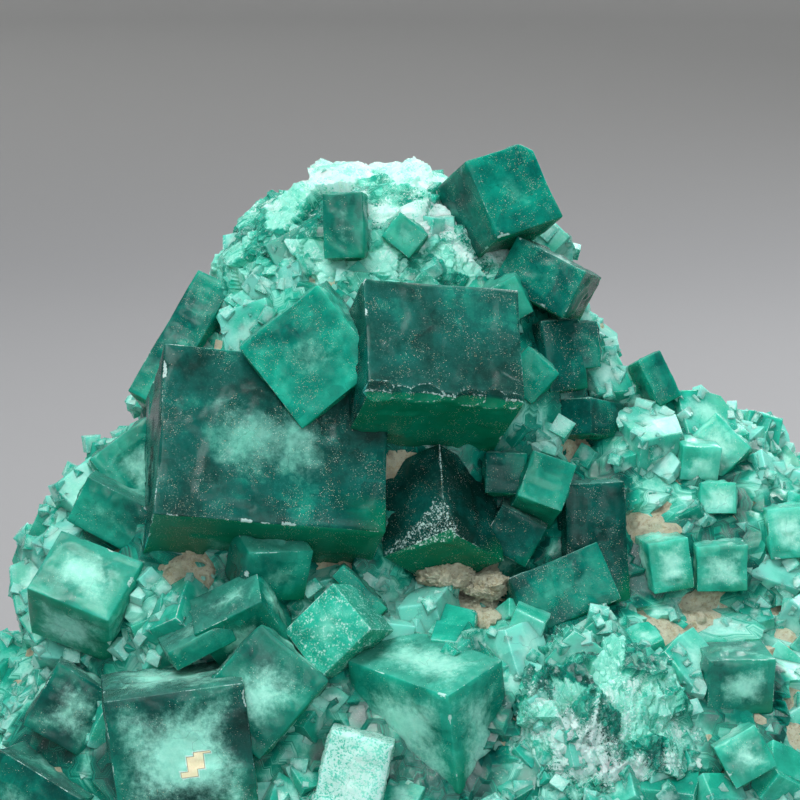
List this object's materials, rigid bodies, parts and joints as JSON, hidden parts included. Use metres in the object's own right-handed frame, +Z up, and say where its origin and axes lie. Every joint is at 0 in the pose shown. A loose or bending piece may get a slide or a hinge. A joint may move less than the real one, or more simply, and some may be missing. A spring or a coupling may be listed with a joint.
{
  "type": "fluorite specimen",
  "caption": "Free-standing mineral specimen: translucent green zoned cubic crystals and small-crystal druse grown over a mound of tan rock with a flat sawn base.",
  "frame": {"origin": "middle of the flat sawn base, under the middle of the specimen's box", "axes": "+Z up from the base, +X along the specimen's width, the display side faces -Y"},
  "size_m": [0.1191, 0.0691, 0.0804],
  "materials": {
    "fluorite_deep": "glossy translucent deep green, dusted with fine pale specks",
    "fluorite_zoned": "glossy translucent green with a cloudy mint core and darker clear borders",
    "fluorite_pale": "satin translucent pale mint green",
    "fluorite_cleaved": "broken cleavage surface, white to mint, frosted with glinting steps",
    "matrix_rock": "matt cream and tan rock, brown stains in the hollows"
  },
  "bodies": {
    "root": {"upper_cube": "fluorite_deep", "wedge_cube": "fluorite_deep", "great_cube": "fluorite_deep", "corner_cube": "fluorite_deep", "light_cube": "fluorite_zoned", "beside_cube": "fluorite_deep", "shard_cube": "fluorite_deep", "teal_slab": "fluorite_deep", "crown_cube": "fluorite_deep", "kite_cube": "fluorite_deep", "mint_cube": "fluorite_zoned", "small_right_cube": "fluorite_deep", "mid_right_cube": "fluorite_deep", "dark_right_cube": "fluorite_deep", "shoulder_cube": "fluorite_deep", "left_sliver": "fluorite_deep", "left_upper_cube": "fluorite_zoned", "left_middle_cube": "fluorite_zoned", "left_low_cube": "fluorite_zoned", "zoned_cube": "fluorite_zoned", "zoned_turned_cube": "fluorite_zoned", "small_zoned_cube": "fluorite_zoned", "low_corner_cube": "fluorite_zoned", "block_cube": "fluorite_zoned", "frosted_block": "fluorite_pale", "frosted_wedge": "fluorite_pale", "roof_cube": "fluorite_zoned", "low_slab": "fluorite_zoned", "leaning_cube": "fluorite_zoned", "green_slab": "fluorite_deep", "square_top_cube": "fluorite_zoned", "tilted_top_cube": "fluorite_zoned", "deep_side_cube": "fluorite_deep", "deep_upper_cube": "fluorite_deep", "pale_shoulder_cube": "fluorite_pale", "pale_tilted_cube": "fluorite_pale", "pale_low_cube": "fluorite_pale", "pale_round_cube": "fluorite_pale", "wide_pale_cube": "fluorite_pale", "dark_low_cube": "fluorite_deep", "square_right_cube": "fluorite_pale", "low_right_cube": "fluorite_pale", "edge_cube": "fluorite_pale", "far_right_cube": "fluorite_zoned", "far_right_low_cube": "fluorite_zoned", "far_left_cube": "fluorite_zoned", "back_great_cube": "fluorite_deep", "back_left_cube": "fluorite_zoned", "back_right_cube": "fluorite_zoned", "cleaved_cap": "fluorite_cleaved", "fractured_mass": "fluorite_cleaved", "tan_pebble": "matrix_rock", "small_tan_pebble": "matrix_rock", "rock": "matrix_rock", "druse_front_left": "fluorite_pale", "druse_front_right": "fluorite_pale", "druse_right": "fluorite_pale", "druse_back_left": "fluorite_pale"}
  },
  "joints": []
}
